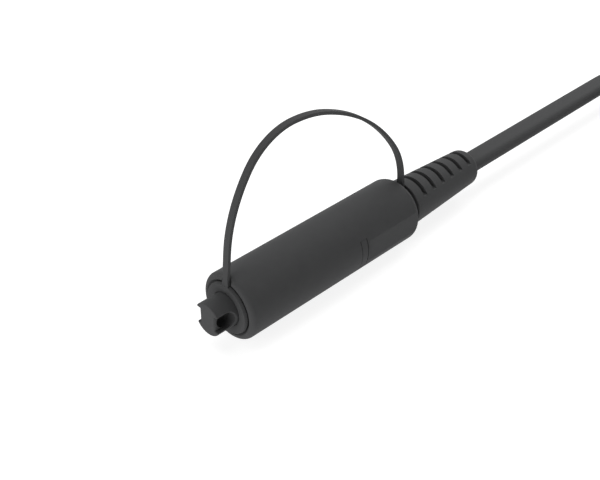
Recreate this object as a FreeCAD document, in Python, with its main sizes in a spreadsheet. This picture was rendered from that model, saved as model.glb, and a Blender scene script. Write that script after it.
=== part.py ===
import FreeCAD, Part
import math
import os
import re

import Sketcher

from FreeCAD import Placement, Rotation, Vector

# Driving sizes in millimetres; x runs along the connector from the mouth to the cable
sizes = {
    # coupling sleeve
    "sleeve_radius": 10.25,
    "sleeve_length": 70.9,
    "sleeve_wall": 2.05,
    "lip_fillet": 1.6,
    "mouth_radius": 7.85,
    "mouth_chamfer": 0.7,
    "mouth_depth": 1.6,
    "thread_radius": 7.3,
    "thread_end": 12.0,
    "shoulder_fillet": 2.2,
    "neck_wall": 1.35,
    "neck_length": 1.0,
    "notch_width": 3.6,
    "notch_depth": 0.7,
    "window_start": 43.1,
    "window_length": 2.8,
    "window_angle": 54.0,
    "window_gap": 0.25,
    "tab_end_gap": 0.06,
    "flat_depth": 0.6,
    "flat_start": 46.4,
    "land_length": 4.4,
    "rear_land_length": 5.2,
    "relief_depth": 1.4,
    "run_clearance": 0.1,
    "axial_play": 0.1,
    # retaining ring
    "retainer_margin": 0.9,
    "retainer_wall": 2.15,
    "retainer_fit": 0.05,
    "retainer_split": 3.0,
    "tab_inset": 0.05,
    # plug housing and its seals
    "barrel_radius": 6.5,
    "cavity_radius": 5.2,
    "flange_radius": 7.1,
    "flange_length": 2.8,
    "washer_thickness": 0.6,
    "washer_radius": 7.9,
    "washer_clearance": 0.15,
    "seam_gap": 1.25,
    "spigot_radius": 6.1,
    "spigot_length": 3.1,
    "shroud_start": 14.0,
    "shroud_bore": 4.7,
    "shroud_wall": 0.9,
    "fork_width": 5.0,
    "fork_depth": 10.0,
    "web_length": 11.0,
    "web_hole": 2.4,
    "front_ring_section": 0.8,
    "front_ring_inset": 2.5,
    "front_groove_depth": 1.1,
    "rear_ring_section": 0.4,
    "rear_ring_inset": 2.9,
    "seal_clearance": 0.05,
    "groove_margin": 0.2,
    # ferrule, its frame, spring and stop
    "frame_inset": 3.0,
    "frame_width": 6.4,
    "frame_height": 5.2,
    "frame_fit": 0.05,
    "frame_collar": 2.9,
    "seat_depth": 7.4,
    "ferrule_radius": 1.25,
    "ferrule_reach": 1.5,
    "tip_chamfer": 0.3,
    "ferrule_grip": 2.5,
    "ferrule_fit": 0.05,
    "collar_radius": 2.2,
    "collar_length": 3.0,
    "collar_fit": 0.15,
    "tail_radius": 1.6,
    "tail_length": 2.5,
    "tail_hole": 0.6,
    "float_travel": 1.5,
    "spring_radius": 1.9,
    "spring_wire": 0.25,
    "spring_turns": 5.0,
    "stop_length": 3.0,
    "nose_length": 1.9,
    "nose_radius": 2.3,
    "nose_bore": 1.75,
    "stop_hole": 0.8,
    # cable, crimp and strain relief
    "cable_width": 8.1,
    "cable_height": 4.5,
    "crimp_radius": 4.6,
    "crimp_gap": 0.2,
    "crimp_length": 18.8,
    "band_offset": 2.8,
    "band_length": 8.0,
    "band_wall": 0.5,
    "cable_offset": 6.8,
    "rod_radius": 0.6,
    "rod_offset": 2.6,
    "rod_length": 5.0,
    "fibre_radius": 0.45,
    "fibre_channel": 1.0,
    "boot_front_radius": 7.7,
    "boot_tip_radius": 6.05,
    "boot_length": 33.65,
    "boot_fillet": 2.4,
    "boot_front_fillet": 0.3,
    "socket_gap": 0.1,
    "slot_inset": 3.77,
    "slot_width": 1.6,
    "slot_pitch": 4.9,
    "slot_count": 6,
    "slot_floor": 4.1,
    # dust cap with its pulling head
    "head_radius": 5.0,
    "head_length": 7.3,
    "head_fillet": 0.3,
    "eye_radius": 2.45,
    "eye_setback": 3.55,
    "bar_width": 5.8,
    "bar_thickness": 0.8,
    "bar_hollow": 2.4,
    "bar_fillet": 0.5,
    "eye_fillet": 0.35,
    "cap_neck_depth": 0.4,
    "cap_flange_radius": 7.6,
    "cap_flange_length": 0.55,
    "cap_thread_depth": 0.8,
    "cap_ring_section": 0.65,
    "cap_ring_inset": 0.5,
    "cap_length": 10.4,
    "cap_bore": 5.2,
    "cap_floor": 2.9,
    # tether
    "strap_width": 2.1,
    "strap_leg": 0.2,
    "strap_thickness": 1.0,
    "ring_stand": 0.78,
    "front_ring_radius": 7.3,
    "front_ring_gap": 0.3,
    "ring_lip": 0.35,
    "ring_lip_fit": 0.15,
    "ring_lip_overlap": 0.2,
    "rear_ring_radius": 7.05,
    "rear_ring_fit": 0.15,
    "rear_ring_play": 0.1,
    # distance by which cutting outlines run past the stock
    "cut_margin": 1.0,
    # cable run and coil
    "bend_share": 0.45,
    "run_straight": 92.2,
    "run_tail": 14.0,
    "coil_radius": 43.0,
    "coil_turns": 5.07,
    "coil_gap": 0.15,
    "coil_lead": 25.0,
    "tie_width": 6.0,
    "tie_thickness": 0.8,
    "tie_clearance": 0.2,
}

# Strap arch from the mouth to the seam: lean at the foot in degrees, then for each bend
# its radius as a share of the span and its turn in degrees
foot_lean = 5.1
arch_bends = (
    (13.0, 0.7),
    (0.615, 30.2),
    (0.2783, 53.5),
    (0.5097, 19.5),
    (0.8332, 35.9),
)

doc = FreeCAD.newDocument("fibre_connector")
sheet = doc.addObject("Spreadsheet::Sheet", "Sheet")
for row, (alias, size) in enumerate(sizes.items(), start=1):
    sheet.set(f"A{row}", alias)
    sheet.set(f"B{row}", str(size))
    sheet.setAlias(f"B{row}", alias)
doc.recompute()

alias_words = re.compile(r"\b(" + "|".join(sorted(sizes, key=len, reverse=True)) + r")\b")
nodes = []


def linked(text):
    return alias_words.sub(r"Sheet.\1", str(text))


def value(text):
    return float(sheet.evalExpression(str(text)))


def bind(thing, prop, text):
    thing.setExpression(prop, linked(text))


def add_body(label):
    body = doc.addObject("PartDesign::Body", label)
    body.Label = label
    nodes.append(body)
    return body


def origin_part(body, role):
    return next(item for item in body.Origin.OriginFeatures if item.Role == role)


def add_sketch(body, name, plane, offset=None):
    sketch = body.newObject("Sketcher::SketchObject", f"{body.Name}_{name}_outline")
    sketch.AttachmentSupport = (origin_part(body, plane), [""])
    sketch.MapMode = "FlatFace"
    if offset is not None:
        bind(sketch, "AttachmentOffset.Base.z", offset)
    return sketch


def fix(sketch, kind, where, text):
    index = sketch.addConstraint(Sketcher.Constraint(kind, *where, value(text)))
    bind(sketch, f"Constraints[{index}]", text)


def draw_loop(sketch, points):
    corners = [Vector(value(px), value(py), 0) for px, py in points]
    first = sketch.GeometryCount
    count = len(points)
    for k, corner in enumerate(corners):
        sketch.addGeometry(Part.LineSegment(corner, corners[(k + 1) % count]))
    for k, (px, py) in enumerate(points):
        line = first + k
        sketch.addConstraint(Sketcher.Constraint("Coincident", line, 2, first + (k + 1) % count, 1))
        fix(sketch, "DistanceX", (-1, 1, line, 1), px)
        fix(sketch, "DistanceY", (-1, 1, line, 1), py)


def draw_circle(sketch, px, py, radius):
    centre = Vector(value(px), value(py), 0)
    index = sketch.addGeometry(Part.Circle(centre, Vector(0, 0, 1), value(radius)))
    fix(sketch, "DistanceX", (-1, 1, index, 3), px)
    fix(sketch, "DistanceY", (-1, 1, index, 3), py)
    fix(sketch, "Radius", (index,), radius)


def draw_stadium(sketch, width, height):
    reach = f"({width} - {height}) / 2"
    half = f"{height} / 2"
    side = Vector(value(reach), 0, 0)
    rise = Vector(0, value(half), 0)
    first = sketch.GeometryCount
    sketch.addGeometry(Part.LineSegment(rise - side, rise + side))
    sketch.addGeometry(Part.LineSegment(side - rise, -side - rise))
    right = Part.ArcOfCircle(Part.Circle(side, Vector(0, 0, 1), value(half)), -math.pi / 2, math.pi / 2)
    left = Part.ArcOfCircle(Part.Circle(-side, Vector(0, 0, 1), value(half)), math.pi / 2, 1.5 * math.pi)
    sketch.addGeometry(right)
    sketch.addGeometry(left)
    for line, start_x, end_x, level in (
        (first, f"-({reach})", reach, half),
        (first + 1, reach, f"-({reach})", f"-({half})"),
    ):
        fix(sketch, "DistanceX", (-1, 1, line, 1), start_x)
        fix(sketch, "DistanceX", (-1, 1, line, 2), end_x)
        fix(sketch, "DistanceY", (-1, 1, line, 1), level)
        fix(sketch, "DistanceY", (-1, 1, line, 2), level)
    for arc, lower, upper, centre in (
        (first + 2, (first + 1, 1), (first, 2), reach),
        (first + 3, (first, 1), (first + 1, 2), f"-({reach})"),
    ):
        sketch.addConstraint(Sketcher.Constraint("Coincident", arc, 1, *lower))
        sketch.addConstraint(Sketcher.Constraint("Coincident", arc, 2, *upper))
        fix(sketch, "DistanceX", (-1, 1, arc, 3), centre)


def finish_feature(body, feature):
    body.Tip = feature
    doc.recompute()
    return feature


def revolve(body, name, points, angle="360", reversed_way=False):
    sketch = add_sketch(body, name, "XY_Plane")
    draw_loop(sketch, points)
    feature = body.newObject("PartDesign::Revolution", f"{body.Name}_{name}")
    feature.Profile = sketch
    feature.ReferenceAxis = (sketch, ["H_Axis"])
    bind(feature, "Angle", angle)
    feature.Reversed = reversed_way
    return finish_feature(body, feature)


def turn_away(body, name, plane, loops, angle):
    sketch = add_sketch(body, name, plane)
    for points in loops:
        draw_loop(sketch, points)
    feature = body.newObject("PartDesign::Groove", f"{body.Name}_{name}")
    feature.Profile = sketch
    feature.ReferenceAxis = (sketch, ["H_Axis"])
    bind(feature, "Angle", angle)
    feature.Midplane = True
    return finish_feature(body, feature)


def pad(body, name, sketch, length, symmetric=False):
    feature = body.newObject("PartDesign::Pad", f"{body.Name}_{name}")
    feature.Profile = sketch
    bind(feature, "Length", length)
    if symmetric:
        feature.SideType = "Symmetric"
    return finish_feature(body, feature)


def pocket(body, name, sketch, length, symmetric=False):
    feature = body.newObject("PartDesign::Pocket", f"{body.Name}_{name}")
    feature.Profile = sketch
    bind(feature, "Length", length)
    if symmetric:
        feature.SideType = "Symmetric"
    else:
        feature.Reversed = True
    return finish_feature(body, feature)


def fillet(body, name, edges, radius):
    base = body.Tip
    feature = body.newObject("PartDesign::Fillet", f"{body.Name}_{name}")
    feature.Base = (base, edges)
    bind(feature, "Radius", radius)
    return finish_feature(body, feature)


def rim_edges(body, position, radius):
    found = []
    for k, edge in enumerate(body.Tip.Shape.Edges, start=1):
        curve = edge.Curve
        if not isinstance(curve, Part.Circle):
            continue
        if abs(curve.Center.x - value(position)) < 1e-4 and abs(curve.Radius - value(radius)) < 1e-4:
            found.append(f"Edge{k}")
    return found


def upright_edges(body, spots):
    found = []
    for k, edge in enumerate(body.Tip.Shape.Edges, start=1):
        box = edge.BoundBox
        for px, py in spots:
            if max(abs(box.XMin - px), abs(box.XMax - px), abs(box.YMin - py), abs(box.YMax - py)) < 1e-4:
                found.append(f"Edge{k}")
    return found


def eye_edges(body):
    # Where the eye breaks out through the round side of the head
    found = []
    for k, edge in enumerate(body.Tip.Shape.Edges, start=1):
        middle = edge.valueAt((edge.FirstParameter + edge.LastParameter) / 2)
        on_skin = abs(math.hypot(middle.y, middle.z) - value("head_radius")) < 1e-3
        in_eye = abs(middle.z) < value("eye_radius") + 1e-3
        if on_skin and in_eye and value("-head_length") < middle.x < 0:
            found.append(f"Edge{k}")
    return found


def add_tube(name, start, length, outer, inner):
    shapes = []
    for part, radius in (("skin", outer), ("bore", inner)):
        cylinder = doc.addObject("Part::Cylinder", f"{name}_{part}")
        bind(cylinder, "Radius", radius)
        bind(cylinder, "Height", length)
        cylinder.Placement = Placement(Vector(), Rotation(Vector(0, 1, 0), 90))
        bind(cylinder, "Placement.Base.x", start)
        shapes.append(cylinder)
    tube = doc.addObject("Part::Cut", name)
    tube.Base, tube.Tool = shapes
    return tube


def add_band(name, profile, width):
    # Closed outline in the upright plane, given its width evenly to both sides
    band_solid = doc.addObject("Part::Extrusion", name)
    band_solid.Base = profile
    band_solid.DirMode = "Custom"
    band_solid.Dir = Vector(0, 1, 0)
    band_solid.Symmetric = True
    band_solid.Solid = True
    bind(band_solid, "LengthFwd", width)
    return band_solid


def add_seal(label, position, root, section):
    seal = doc.addObject("Part::Torus", label)
    seal.Label = label
    bind(seal, "Radius1", f"{root} + {section}")
    bind(seal, "Radius2", section)
    seal.Placement = Placement(Vector(), Rotation(Vector(0, 1, 0), 90))
    bind(seal, "Placement.Base.x", position)
    nodes.append(seal)
    return seal


# Stations along the axis that several pieces share
shoulder = "(sleeve_length - neck_length)"
neck_radius = "(barrel_radius + run_clearance + neck_wall)"
chamber_radius = "(sleeve_radius - sleeve_wall)"
land_radius = "(barrel_radius + run_clearance)"
window_end = "(window_start + window_length)"
retainer_start = "(window_start - retainer_margin)"
retainer_end = f"({window_end} + retainer_margin)"
flange_start = f"({retainer_end} + 2 * axial_play)"
flange_end = f"({flange_start} + flange_length)"
washer_start = f"({flange_end} + axial_play)"
land_start = f"({washer_start} + washer_thickness + axial_play)"
land_end = f"({land_start} + land_length)"
rear_land = "(sleeve_length - rear_land_length)"
boot_start = "(sleeve_length + seam_gap)"
spigot_end = f"({boot_start} + spigot_length)"
boot_end = f"({boot_start} + boot_length)"
web_start = f"({flange_start} - web_length)"
stop_start = f"({web_start} - stop_length)"
frame_start = "(shroud_start + frame_inset)"
seat = f"({frame_start} + seat_depth)"
collar_start = f"({seat} + axial_play)"
collar_end = f"({collar_start} + collar_length)"
nose_start = f"({stop_start} - nose_length)"
crimp_start = f"({flange_start} + crimp_gap)"
crimp_end = f"({crimp_start} + crimp_length)"
cable_start = f"({crimp_start} + cable_offset)"
shroud_radius = "(shroud_bore + shroud_wall)"
ring_back = "(strap_thickness - ring_stand)"
cap_front = f"({ring_back} + axial_play)"
cap_end = f"({cap_front} + cap_length)"
cap_root = "(thread_radius - cap_thread_depth)"
seal_bore = "(thread_radius - seal_clearance)"

# Coupling sleeve: turned tube with a bevelled mouth, rounded lip, strap notch, snap windows and grip flats
sleeve = add_body("coupling_sleeve")
revolve(sleeve, "tube", (
    ("0", "mouth_radius + mouth_chamfer"),
    ("mouth_chamfer", "mouth_radius"),
    ("mouth_depth", "mouth_radius"),
    ("mouth_depth", "thread_radius"),
    ("thread_end", "thread_radius"),
    ("thread_end", chamber_radius),
    (land_start, chamber_radius),
    (land_start, land_radius),
    (land_end, land_radius),
    (land_end, f"{land_radius} + relief_depth"),
    (rear_land, f"{land_radius} + relief_depth"),
    (rear_land, land_radius),
    ("sleeve_length", land_radius),
    ("sleeve_length", neck_radius),
    (shoulder, neck_radius),
    (shoulder, "sleeve_radius"),
    ("0", "sleeve_radius"),
))
fillet(sleeve, "lip", rim_edges(sleeve, "0", "sleeve_radius"), "lip_fillet")
fillet(sleeve, "shoulder", rim_edges(sleeve, shoulder, "sleeve_radius"), "shoulder_fillet")
notch = add_sketch(sleeve, "strap_notch", "YZ_Plane")
draw_loop(notch, (
    ("-notch_width / 2", "0"),
    ("notch_width / 2", "0"),
    ("notch_width / 2", "sleeve_radius + cut_margin"),
    ("-notch_width / 2", "sleeve_radius + cut_margin"),
))
pocket(sleeve, "strap_notch", notch, "notch_depth")
turn_away(sleeve, "snap_windows", "XY_Plane", [
    [
        ("window_start", f"{side}({chamber_radius} - cut_margin)"),
        (window_end, f"{side}({chamber_radius} - cut_margin)"),
        (window_end, f"{side}(sleeve_radius + cut_margin)"),
        ("window_start", f"{side}(sleeve_radius + cut_margin)"),
    ]
    for side in ("", "-")
], "window_angle")
flats = add_sketch(sleeve, "grip_flats", "YZ_Plane", "flat_start")
for side in ("", "-"):
    draw_loop(flats, (
        (f"{side}(sleeve_radius - flat_depth)", "-sleeve_radius"),
        (f"{side}(sleeve_radius + cut_margin)", "-sleeve_radius"),
        (f"{side}(sleeve_radius + cut_margin)", "sleeve_radius"),
        (f"{side}(sleeve_radius - flat_depth)", "sleeve_radius"),
    ))
pocket(sleeve, "grip_flats", flats, "sleeve_length")

# Split retaining ring with two tabs that snap out flush through the sleeve windows
retainer = add_body("sleeve_retainer")
ring_outer = f"({chamber_radius} - retainer_fit)"
revolve(retainer, "ring", (
    (retainer_start, f"{ring_outer} - retainer_wall"),
    (retainer_end, f"{ring_outer} - retainer_wall"),
    (retainer_end, ring_outer),
    (f"{window_end} - window_gap", ring_outer),
    (f"{window_end} - window_gap", "sleeve_radius - tab_inset"),
    ("window_start + window_gap", "sleeve_radius - tab_inset"),
    ("window_start + window_gap", ring_outer),
    (retainer_start, ring_outer),
))
tab_angle = "(window_angle - 2 * tab_end_gap / sleeve_radius * 180 / pi)"
turn_away(retainer, "tabs", "XZ_Plane", [
    [
        (f"{retainer_start} - cut_margin", f"{side}{ring_outer}"),
        (f"{retainer_end} + cut_margin", f"{side}{ring_outer}"),
        (f"{retainer_end} + cut_margin", f"{side}(sleeve_radius + cut_margin)"),
        (f"{retainer_start} - cut_margin", f"{side}(sleeve_radius + cut_margin)"),
    ]
    for side in ("", "-")
], f"180 - {tab_angle}")
split = add_sketch(retainer, "split", "YZ_Plane", f"{retainer_start} - cut_margin")
draw_loop(split, (
    ("-retainer_split / 2", "0"),
    ("retainer_split / 2", "0"),
    ("retainer_split / 2", "sleeve_radius"),
    ("-retainer_split / 2", "sleeve_radius"),
))
pocket(retainer, "split", split, f"{retainer_end} - {retainer_start} + 2 * cut_margin")

# Plug housing: forked shroud, web, thrust flange and the barrel the sleeve runs on
housing = add_body("plug_housing")
front_seal_x = f"({web_start} + front_ring_inset)"
front_root = f"({shroud_radius} - front_groove_depth)"
front_half = "(front_ring_section + groove_margin / 2)"
rear_seal_x = "(sleeve_length - rear_ring_inset)"
rear_root = f"({land_radius} - seal_clearance - 2 * rear_ring_section)"
rear_half = "(rear_ring_section + groove_margin / 2)"
revolve(housing, "turned_form", (
    ("shroud_start", "shroud_bore"),
    ("shroud_start", shroud_radius),
    (f"{front_seal_x} - {front_half}", shroud_radius),
    (f"{front_seal_x} - {front_half}", front_root),
    (f"{front_seal_x} + {front_half}", front_root),
    (f"{front_seal_x} + {front_half}", shroud_radius),
    (flange_start, shroud_radius),
    (flange_start, "flange_radius"),
    (flange_end, "flange_radius"),
    (flange_end, "barrel_radius"),
    (f"{rear_seal_x} - {rear_half}", "barrel_radius"),
    (f"{rear_seal_x} - {rear_half}", rear_root),
    (f"{rear_seal_x} + {rear_half}", rear_root),
    (f"{rear_seal_x} + {rear_half}", "barrel_radius"),
    (boot_start, "barrel_radius"),
    (boot_start, "spigot_radius"),
    (spigot_end, "spigot_radius"),
    (spigot_end, "cavity_radius"),
    (flange_start, "cavity_radius"),
    (flange_start, "web_hole"),
    (web_start, "web_hole"),
    (web_start, "shroud_bore"),
))
fork = add_sketch(housing, "fork_openings", "XZ_Plane")
draw_loop(fork, (
    ("shroud_start - cut_margin", "-fork_width / 2"),
    ("shroud_start + fork_depth", "-fork_width / 2"),
    ("shroud_start + fork_depth", "fork_width / 2"),
    ("shroud_start - cut_margin", "fork_width / 2"),
))
pocket(housing, "fork_openings", fork, f"2 * {shroud_radius} + 2 * cut_margin", symmetric=True)

front_seal = add_seal("front_o_ring", front_seal_x, front_root, "front_ring_section")
rear_seal = add_seal("rear_o_ring", rear_seal_x, rear_root, "rear_ring_section")

washer = add_body("thrust_washer")
revolve(washer, "ring", (
    (washer_start, "barrel_radius + washer_clearance"),
    (f"{washer_start} + washer_thickness", "barrel_radius + washer_clearance"),
    (f"{washer_start} + washer_thickness", "washer_radius"),
    (washer_start, "washer_radius"),
))

# Plug frame: square body with a round rear collar and a stepped bore for the ferrule
frame = add_body("plug_frame")
block = add_sketch(frame, "block", "YZ_Plane", frame_start)
draw_loop(block, (
    ("-frame_width / 2", "-frame_height / 2"),
    ("frame_width / 2", "-frame_height / 2"),
    ("frame_width / 2", "frame_height / 2"),
    ("-frame_width / 2", "frame_height / 2"),
))
pad(frame, "block", block, f"{stop_start} - {frame_start}")
collar = add_sketch(frame, "collar", "YZ_Plane", f"{stop_start} - frame_collar")
draw_circle(collar, "0", "0", "shroud_bore - frame_fit")
pad(frame, "collar", collar, "frame_collar")
turn_away(frame, "bore", "XY_Plane", [[
    (f"{frame_start} - cut_margin", "0"),
    (f"{stop_start} + cut_margin", "0"),
    (f"{stop_start} + cut_margin", "collar_radius + collar_fit"),
    (seat, "collar_radius + collar_fit"),
    (seat, "ferrule_radius + ferrule_fit"),
    (f"{frame_start} - cut_margin", "ferrule_radius + ferrule_fit"),
]], "360")

ferrule = add_body("ferrule")
revolve(ferrule, "rod", (
    (f"{frame_start} - ferrule_reach", "0"),
    (f"{collar_start} + ferrule_grip", "0"),
    (f"{collar_start} + ferrule_grip", "ferrule_radius"),
    (f"{frame_start} - ferrule_reach + tip_chamfer", "ferrule_radius"),
    (f"{frame_start} - ferrule_reach", "ferrule_radius - tip_chamfer"),
))

ferrule_flange = add_body("ferrule_flange")
revolve(ferrule_flange, "turned_form", (
    (collar_start, "ferrule_radius"),
    (collar_start, "collar_radius"),
    (collar_end, "collar_radius"),
    (collar_end, "tail_radius"),
    (f"{collar_end} + tail_length", "tail_radius"),
    (f"{collar_end} + tail_length", "tail_hole"),
    (f"{collar_start} + ferrule_grip", "tail_hole"),
    (f"{collar_start} + ferrule_grip", "ferrule_radius"),
))

stop = add_body("spring_stop")
revolve(stop, "turned_form", (
    (nose_start, "nose_bore"),
    (nose_start, "nose_radius"),
    (stop_start, "nose_radius"),
    (stop_start, "shroud_bore - frame_fit"),
    (web_start, "shroud_bore - frame_fit"),
    (web_start, "nose_radius"),
    (flange_start, "nose_radius"),
    (flange_start, "stop_hole"),
    (stop_start, "stop_hole"),
    (stop_start, "nose_bore"),
))

# Ferrule spring: round wire wound between the flange collar and the nose of the stop
coil_span = f"({nose_start} - {collar_end} - 2 * spring_wire)"
helix = doc.addObject("Part::Helix", "spring_path")
bind(helix, "Radius", "spring_radius")
bind(helix, "Height", coil_span)
bind(helix, "Pitch", f"{coil_span} / spring_turns")
wire_section = doc.addObject("Part::Circle", "spring_section")
bind(wire_section, "Radius", "spring_wire")
wire_section.Placement = Placement(Vector(), Rotation(Vector(1, 0, 0), 90))
bind(wire_section, "Placement.Base.x", "spring_radius")
spring = doc.addObject("Part::Sweep", "ferrule_spring")
spring.Label = "ferrule_spring"
doc.recompute()
spring.Sections = [wire_section]
spring.Spine = (helix, ["Edge1"])
spring.Solid = True
spring.Frenet = True
spring.Placement = Placement(Vector(), Rotation(Vector(0, 1, 0), 90))
bind(spring, "Placement.Base.x", f"{collar_end} + spring_wire")
nodes.append(spring)

# Cable end held by two crimp halves and a band
for label, way in (("crimp_body_upper", False), ("crimp_body_lower", True)):
    half = add_body(label)
    revolve(half, "shell", (
        (crimp_start, "0"),
        (crimp_end, "0"),
        (crimp_end, "crimp_radius"),
        (crimp_start, "crimp_radius"),
    ), "180", way)
    seat_sketch = add_sketch(half, "cable_seat", "YZ_Plane", cable_start)
    draw_stadium(seat_sketch, "cable_width", "cable_height")
    pocket(half, "cable_seat", seat_sketch, "crimp_length")
    rods = add_sketch(half, "rod_seats", "YZ_Plane", f"{cable_start} - rod_length")
    for side in ("", "-"):
        draw_circle(rods, f"{side}rod_offset", "0", "rod_radius")
    pocket(half, "rod_seats", rods, "rod_length + cut_margin")
    channel = add_sketch(half, "fibre_channel", "YZ_Plane", f"{crimp_start} - cut_margin")
    draw_circle(channel, "0", "0", "fibre_channel")
    pocket(half, "fibre_channel", channel, "cable_offset + 2 * cut_margin")

band = add_body("crimp_band")
revolve(band, "ring", (
    (f"{crimp_start} + band_offset", "crimp_radius"),
    (f"{crimp_start} + band_offset + band_length", "crimp_radius"),
    (f"{crimp_start} + band_offset + band_length", "crimp_radius + band_wall"),
    (f"{crimp_start} + band_offset", "crimp_radius + band_wall"),
))

rod_pair = []
for side in ("", "-"):
    rod = doc.addObject("Part::Cylinder", "strength_rod")
    bind(rod, "Radius", "rod_radius")
    bind(rod, "Height", "rod_length")
    rod.Placement = Placement(Vector(), Rotation(Vector(0, 1, 0), 90))
    bind(rod, "Placement.Base.x", f"{cable_start} - rod_length")
    bind(rod, "Placement.Base.y", f"{side}rod_offset")
    rod_pair.append(rod)
rods_node = doc.addObject("Part::Compound", "strength_rods")
rods_node.Label = "strength_rods"
rods_node.Links = rod_pair
nodes.append(rods_node)

fibre = add_body("fibre_tube")
fibre_sketch = add_sketch(fibre, "tube", "YZ_Plane", f"{collar_end} + float_travel - axial_play")
draw_circle(fibre_sketch, "0", "0", "fibre_radius")
pad(fibre, "tube", fibre_sketch, f"{cable_start} - {collar_end} - float_travel + axial_play")

cable_inner = add_body("cable_inner")
inner_sketch = add_sketch(cable_inner, "jacket", "YZ_Plane", cable_start)
draw_stadium(inner_sketch, "cable_width", "cable_height")
pad(cable_inner, "jacket", inner_sketch, f"{boot_end} - {cable_start}")

# Strain relief boot: tapered, rounded at the cable end, slotted from both sides
boot = add_body("strain_relief_boot")
socket_end = f"({spigot_end} + socket_gap)"
revolve(boot, "taper", (
    (boot_start, "spigot_radius"),
    (boot_start, "boot_front_radius"),
    (boot_end, "boot_tip_radius"),
    (boot_end, "0"),
    (socket_end, "0"),
    (socket_end, "spigot_radius"),
))
fillet(boot, "front_edge", rim_edges(boot, boot_start, "boot_front_radius"), "boot_front_fillet")
fillet(boot, "tip", rim_edges(boot, boot_end, "boot_tip_radius"), "boot_fillet")
hole = add_sketch(boot, "cable_hole", "YZ_Plane", f"{spigot_end} - cut_margin")
draw_stadium(hole, "cable_width", "cable_height")
pocket(boot, "cable_hole", hole, "boot_length")
slot = add_sketch(boot, "slot", "XZ_Plane")
for side in ("", "-"):
    draw_loop(slot, (
        (f"{boot_start} + slot_inset", f"{side}slot_floor"),
        (f"{boot_start} + slot_inset + slot_width", f"{side}slot_floor"),
        (f"{boot_start} + slot_inset + slot_width", f"{side}(boot_front_radius + cut_margin)"),
        (f"{boot_start} + slot_inset", f"{side}(boot_front_radius + cut_margin)"),
    ))
slot_cut = pocket(boot, "slot", slot, "2 * boot_front_radius + 2 * cut_margin", symmetric=True)
slot_row = boot.newObject("PartDesign::LinearPattern", "boot_slot_row")
slot_row.Originals = [slot_cut]
slot_row.Direction = (slot, ["H_Axis"])
bind(slot_row, "Length", "slot_pitch * (slot_count - 1)")
bind(slot_row, "Occurrences", "slot_count")
finish_feature(boot, slot_row)

# Dust cap: threaded plug with a seal groove and a pulling head pierced by an eye
cap = add_body("dust_cap")
seal_x = f"({cap_front} + cap_flange_length + cap_ring_inset + cap_ring_section)"
cap_seal_root = f"({seal_bore} - 2 * cap_ring_section)"
cap_half = "(cap_ring_section + groove_margin / 2)"
revolve(cap, "turned_form", (
    ("-head_length", "0"),
    ("-head_length", "head_radius"),
    (f"{ring_back} - ring_lip - axial_play", "head_radius"),
    (f"{ring_back} - ring_lip - axial_play", "head_radius - cap_neck_depth"),
    (cap_front, "head_radius - cap_neck_depth"),
    (cap_front, "cap_flange_radius"),
    (f"{cap_front} + cap_flange_length", "cap_flange_radius"),
    (f"{cap_front} + cap_flange_length", cap_root),
    (f"{seal_x} - {cap_half}", cap_root),
    (f"{seal_x} - {cap_half}", cap_seal_root),
    (f"{seal_x} + {cap_half}", cap_seal_root),
    (f"{seal_x} + {cap_half}", cap_root),
    (cap_end, cap_root),
    (cap_end, "cap_bore"),
    (f"{cap_front} + cap_floor", "cap_bore"),
    (f"{cap_front} + cap_floor", "0"),
))
eye_slot = add_sketch(cap, "eye_slot", "XZ_Plane")
draw_loop(eye_slot, (
    ("-head_length - cut_margin", "-eye_radius"),
    ("eye_setback - head_length", "-eye_radius"),
    ("eye_setback - head_length", "eye_radius"),
    ("-head_length - cut_margin", "eye_radius"),
))
pocket(cap, "eye_slot", eye_slot, "2 * head_radius + 2 * cut_margin", symmetric=True)
eye_round = add_sketch(cap, "eye_round", "XZ_Plane")
draw_circle(eye_round, "eye_setback - head_length", "0", "eye_radius")
pocket(cap, "eye_round", eye_round, "2 * head_radius + 2 * cut_margin", symmetric=True)
fillet(cap, "eye_rim", eye_edges(cap), "eye_fillet")
bar = add_sketch(cap, "eye_bar", "XZ_Plane")
bar_back = "(bar_thickness + bar_hollow - head_length)"
draw_loop(bar, (
    ("-head_length", "-eye_radius"),
    (bar_back, "-eye_radius"),
    (bar_back, "eye_radius"),
    ("-head_length", "eye_radius"),
))
pad(cap, "eye_bar", bar, "bar_width", symmetric=True)
bar_round = add_sketch(cap, "bar_round", "XZ_Plane")
draw_circle(bar_round, bar_back, "0", "bar_hollow")
pocket(cap, "bar_round", bar_round, "2 * head_radius + 2 * cut_margin", symmetric=True)
bar_corners = [(value("-head_length"), side * value("bar_width / 2")) for side in (-1, 1)]
fillet(cap, "bar_edges", upright_edges(cap, bar_corners), "bar_fillet")
fillet(cap, "head_rim", rim_edges(cap, "-head_length", "head_radius"), "head_fillet")

cap_seal = add_seal("cap_o_ring", seal_x, cap_seal_root, "cap_ring_section")

# Tether: two rings joined by an arched flat strap, moulded as one piece
front_ring = add_tube("tether_front_ring", "-ring_stand", "strap_thickness", "front_ring_radius",
                      "head_radius + front_ring_gap")
lip_ring = add_tube("tether_ring_lip", f"{ring_back} - ring_lip", "ring_lip",
                    "head_radius + front_ring_gap + ring_lip_overlap",
                    "head_radius - cap_neck_depth + ring_lip_fit")
rear_ring = add_tube("tether_rear_ring", "sleeve_length + rear_ring_play",
                     "seam_gap - 2 * rear_ring_play", "rear_ring_radius",
                     "barrel_radius + rear_ring_fit")
half_strap = value("strap_thickness") / 2
foot_level = value("head_radius + front_ring_gap + front_ring_radius") / 2
foot = Vector(value(ring_back) - half_strap, 0, foot_level)
seam = value("sleeve_length + seam_gap / 2")
seam_top = (value("barrel_radius + rear_ring_fit") + value("rear_ring_radius")) / 2


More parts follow.
